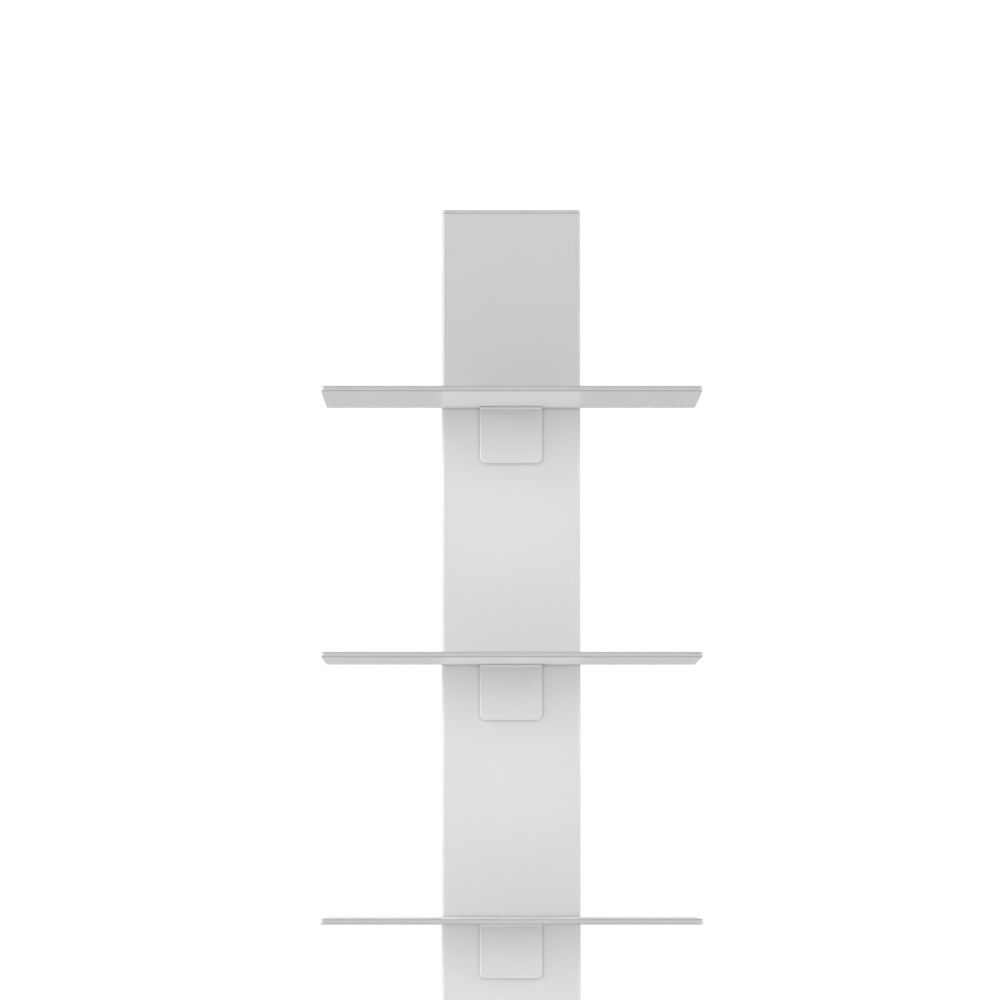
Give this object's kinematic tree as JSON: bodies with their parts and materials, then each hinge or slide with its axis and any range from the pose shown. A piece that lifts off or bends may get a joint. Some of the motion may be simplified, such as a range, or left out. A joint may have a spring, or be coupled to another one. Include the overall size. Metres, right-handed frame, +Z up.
{
  "type": "spine bookcase",
  "caption": "Tall free-standing spine bookcase: a folded sheet-metal column on a flat base plate carries thin cantilevered shelves on bent brackets.",
  "frame": {"origin": "on the floor, under the middle of the base plate", "axes": "+X across the width, -Y towards the front where the shelves reach out, +Z up along the column"},
  "size_m": [0.35, 0.28, 1.668],
  "materials": {
    "powder_coat": "satin powder coat, light neutral grey",
    "zinc_plated_steel": "bright zinc plate",
    "nylon": "matte black moulded nylon",
    "rubber": "matte black rubber"
  },
  "bodies": {
    "bookcase": {"base_plate": "powder_coat", "spine_channel": "powder_coat", "top_cap": "powder_coat", "rear_cover": "powder_coat", "shelf_1": "powder_coat", "shelf_2": "powder_coat", "shelf_3": "powder_coat", "shelf_4": "powder_coat", "shelf_5": "powder_coat", "shelf_6": "powder_coat", "bracket_1": "powder_coat", "bracket_2": "powder_coat", "bracket_3": "powder_coat", "bracket_4": "powder_coat", "bracket_5": "powder_coat", "bracket_6": "powder_coat", "spine_sill": "zinc_plated_steel", "base_bolts": "zinc_plated_steel", "cover_screws": "zinc_plated_steel", "cover_weld_nuts": "zinc_plated_steel", "doubler_plate_1": "zinc_plated_steel", "doubler_plate_2": "zinc_plated_steel", "doubler_plate_3": "zinc_plated_steel", "doubler_plate_4": "zinc_plated_steel", "doubler_plate_5": "zinc_plated_steel", "doubler_plate_6": "zinc_plated_steel", "bracket_studs": "zinc_plated_steel", "flange_nuts": "zinc_plated_steel", "shelf_screws": "zinc_plated_steel"},
    "foot_front_left": {"foot_shell_front_left": "nylon", "foot_sole_front_left": "rubber"},
    "stud_front_left": {"foot_stud_front_left": "zinc_plated_steel"},
    "foot_front_right": {"foot_shell_front_right": "nylon", "foot_sole_front_right": "rubber"},
    "stud_front_right": {"foot_stud_front_right": "zinc_plated_steel"},
    "foot_rear_left": {"foot_shell_rear_left": "nylon", "foot_sole_rear_left": "rubber"},
    "stud_rear_left": {"foot_stud_rear_left": "zinc_plated_steel"},
    "foot_rear_right": {"foot_shell_rear_right": "nylon", "foot_sole_rear_right": "rubber"},
    "stud_rear_right": {"foot_stud_rear_right": "zinc_plated_steel"}
  },
  "joints": [
    {"name": "front_left_foot_height", "type": "slide", "parent": "bookcase", "child": "foot_front_left", "axis": [0, 0, 1], "range_m": [-0.003, 0.003]},
    {"name": "front_left_stud_turn", "type": "hinge", "parent": "foot_front_left", "child": "stud_front_left", "pos_m": [-0.147, -0.112, 0.01], "axis": [0, 0, 1], "range_deg": [-865, 865]},
    {"name": "front_right_foot_height", "type": "slide", "parent": "bookcase", "child": "foot_front_right", "axis": [0, 0, 1], "range_m": [-0.003, 0.003]},
    {"name": "front_right_stud_turn", "type": "hinge", "parent": "foot_front_right", "child": "stud_front_right", "pos_m": [0.147, -0.112, 0.01], "axis": [0, 0, 1], "range_deg": [-865, 865]},
    {"name": "rear_left_foot_height", "type": "slide", "parent": "bookcase", "child": "foot_rear_left", "axis": [0, 0, 1], "range_m": [-0.003, 0.003]},
    {"name": "rear_left_stud_turn", "type": "hinge", "parent": "foot_rear_left", "child": "stud_rear_left", "pos_m": [-0.147, 0.112, 0.01], "axis": [0, 0, 1], "range_deg": [-865, 865]},
    {"name": "rear_right_foot_height", "type": "slide", "parent": "bookcase", "child": "foot_rear_right", "axis": [0, 0, 1], "range_m": [-0.003, 0.003]},
    {"name": "rear_right_stud_turn", "type": "hinge", "parent": "foot_rear_right", "child": "stud_rear_right", "pos_m": [0.147, 0.112, 0.01], "axis": [0, 0, 1], "range_deg": [-865, 865]}
  ],
  "couplings": [
    {"joint": "front_left_stud_turn", "follows": "front_left_foot_height", "rad_per_m": 5026.5},
    {"joint": "front_right_stud_turn", "follows": "front_right_foot_height", "rad_per_m": 5026.5},
    {"joint": "rear_left_stud_turn", "follows": "rear_left_foot_height", "rad_per_m": 5026.5},
    {"joint": "rear_right_stud_turn", "follows": "rear_right_foot_height", "rad_per_m": 5026.5}
  ]
}
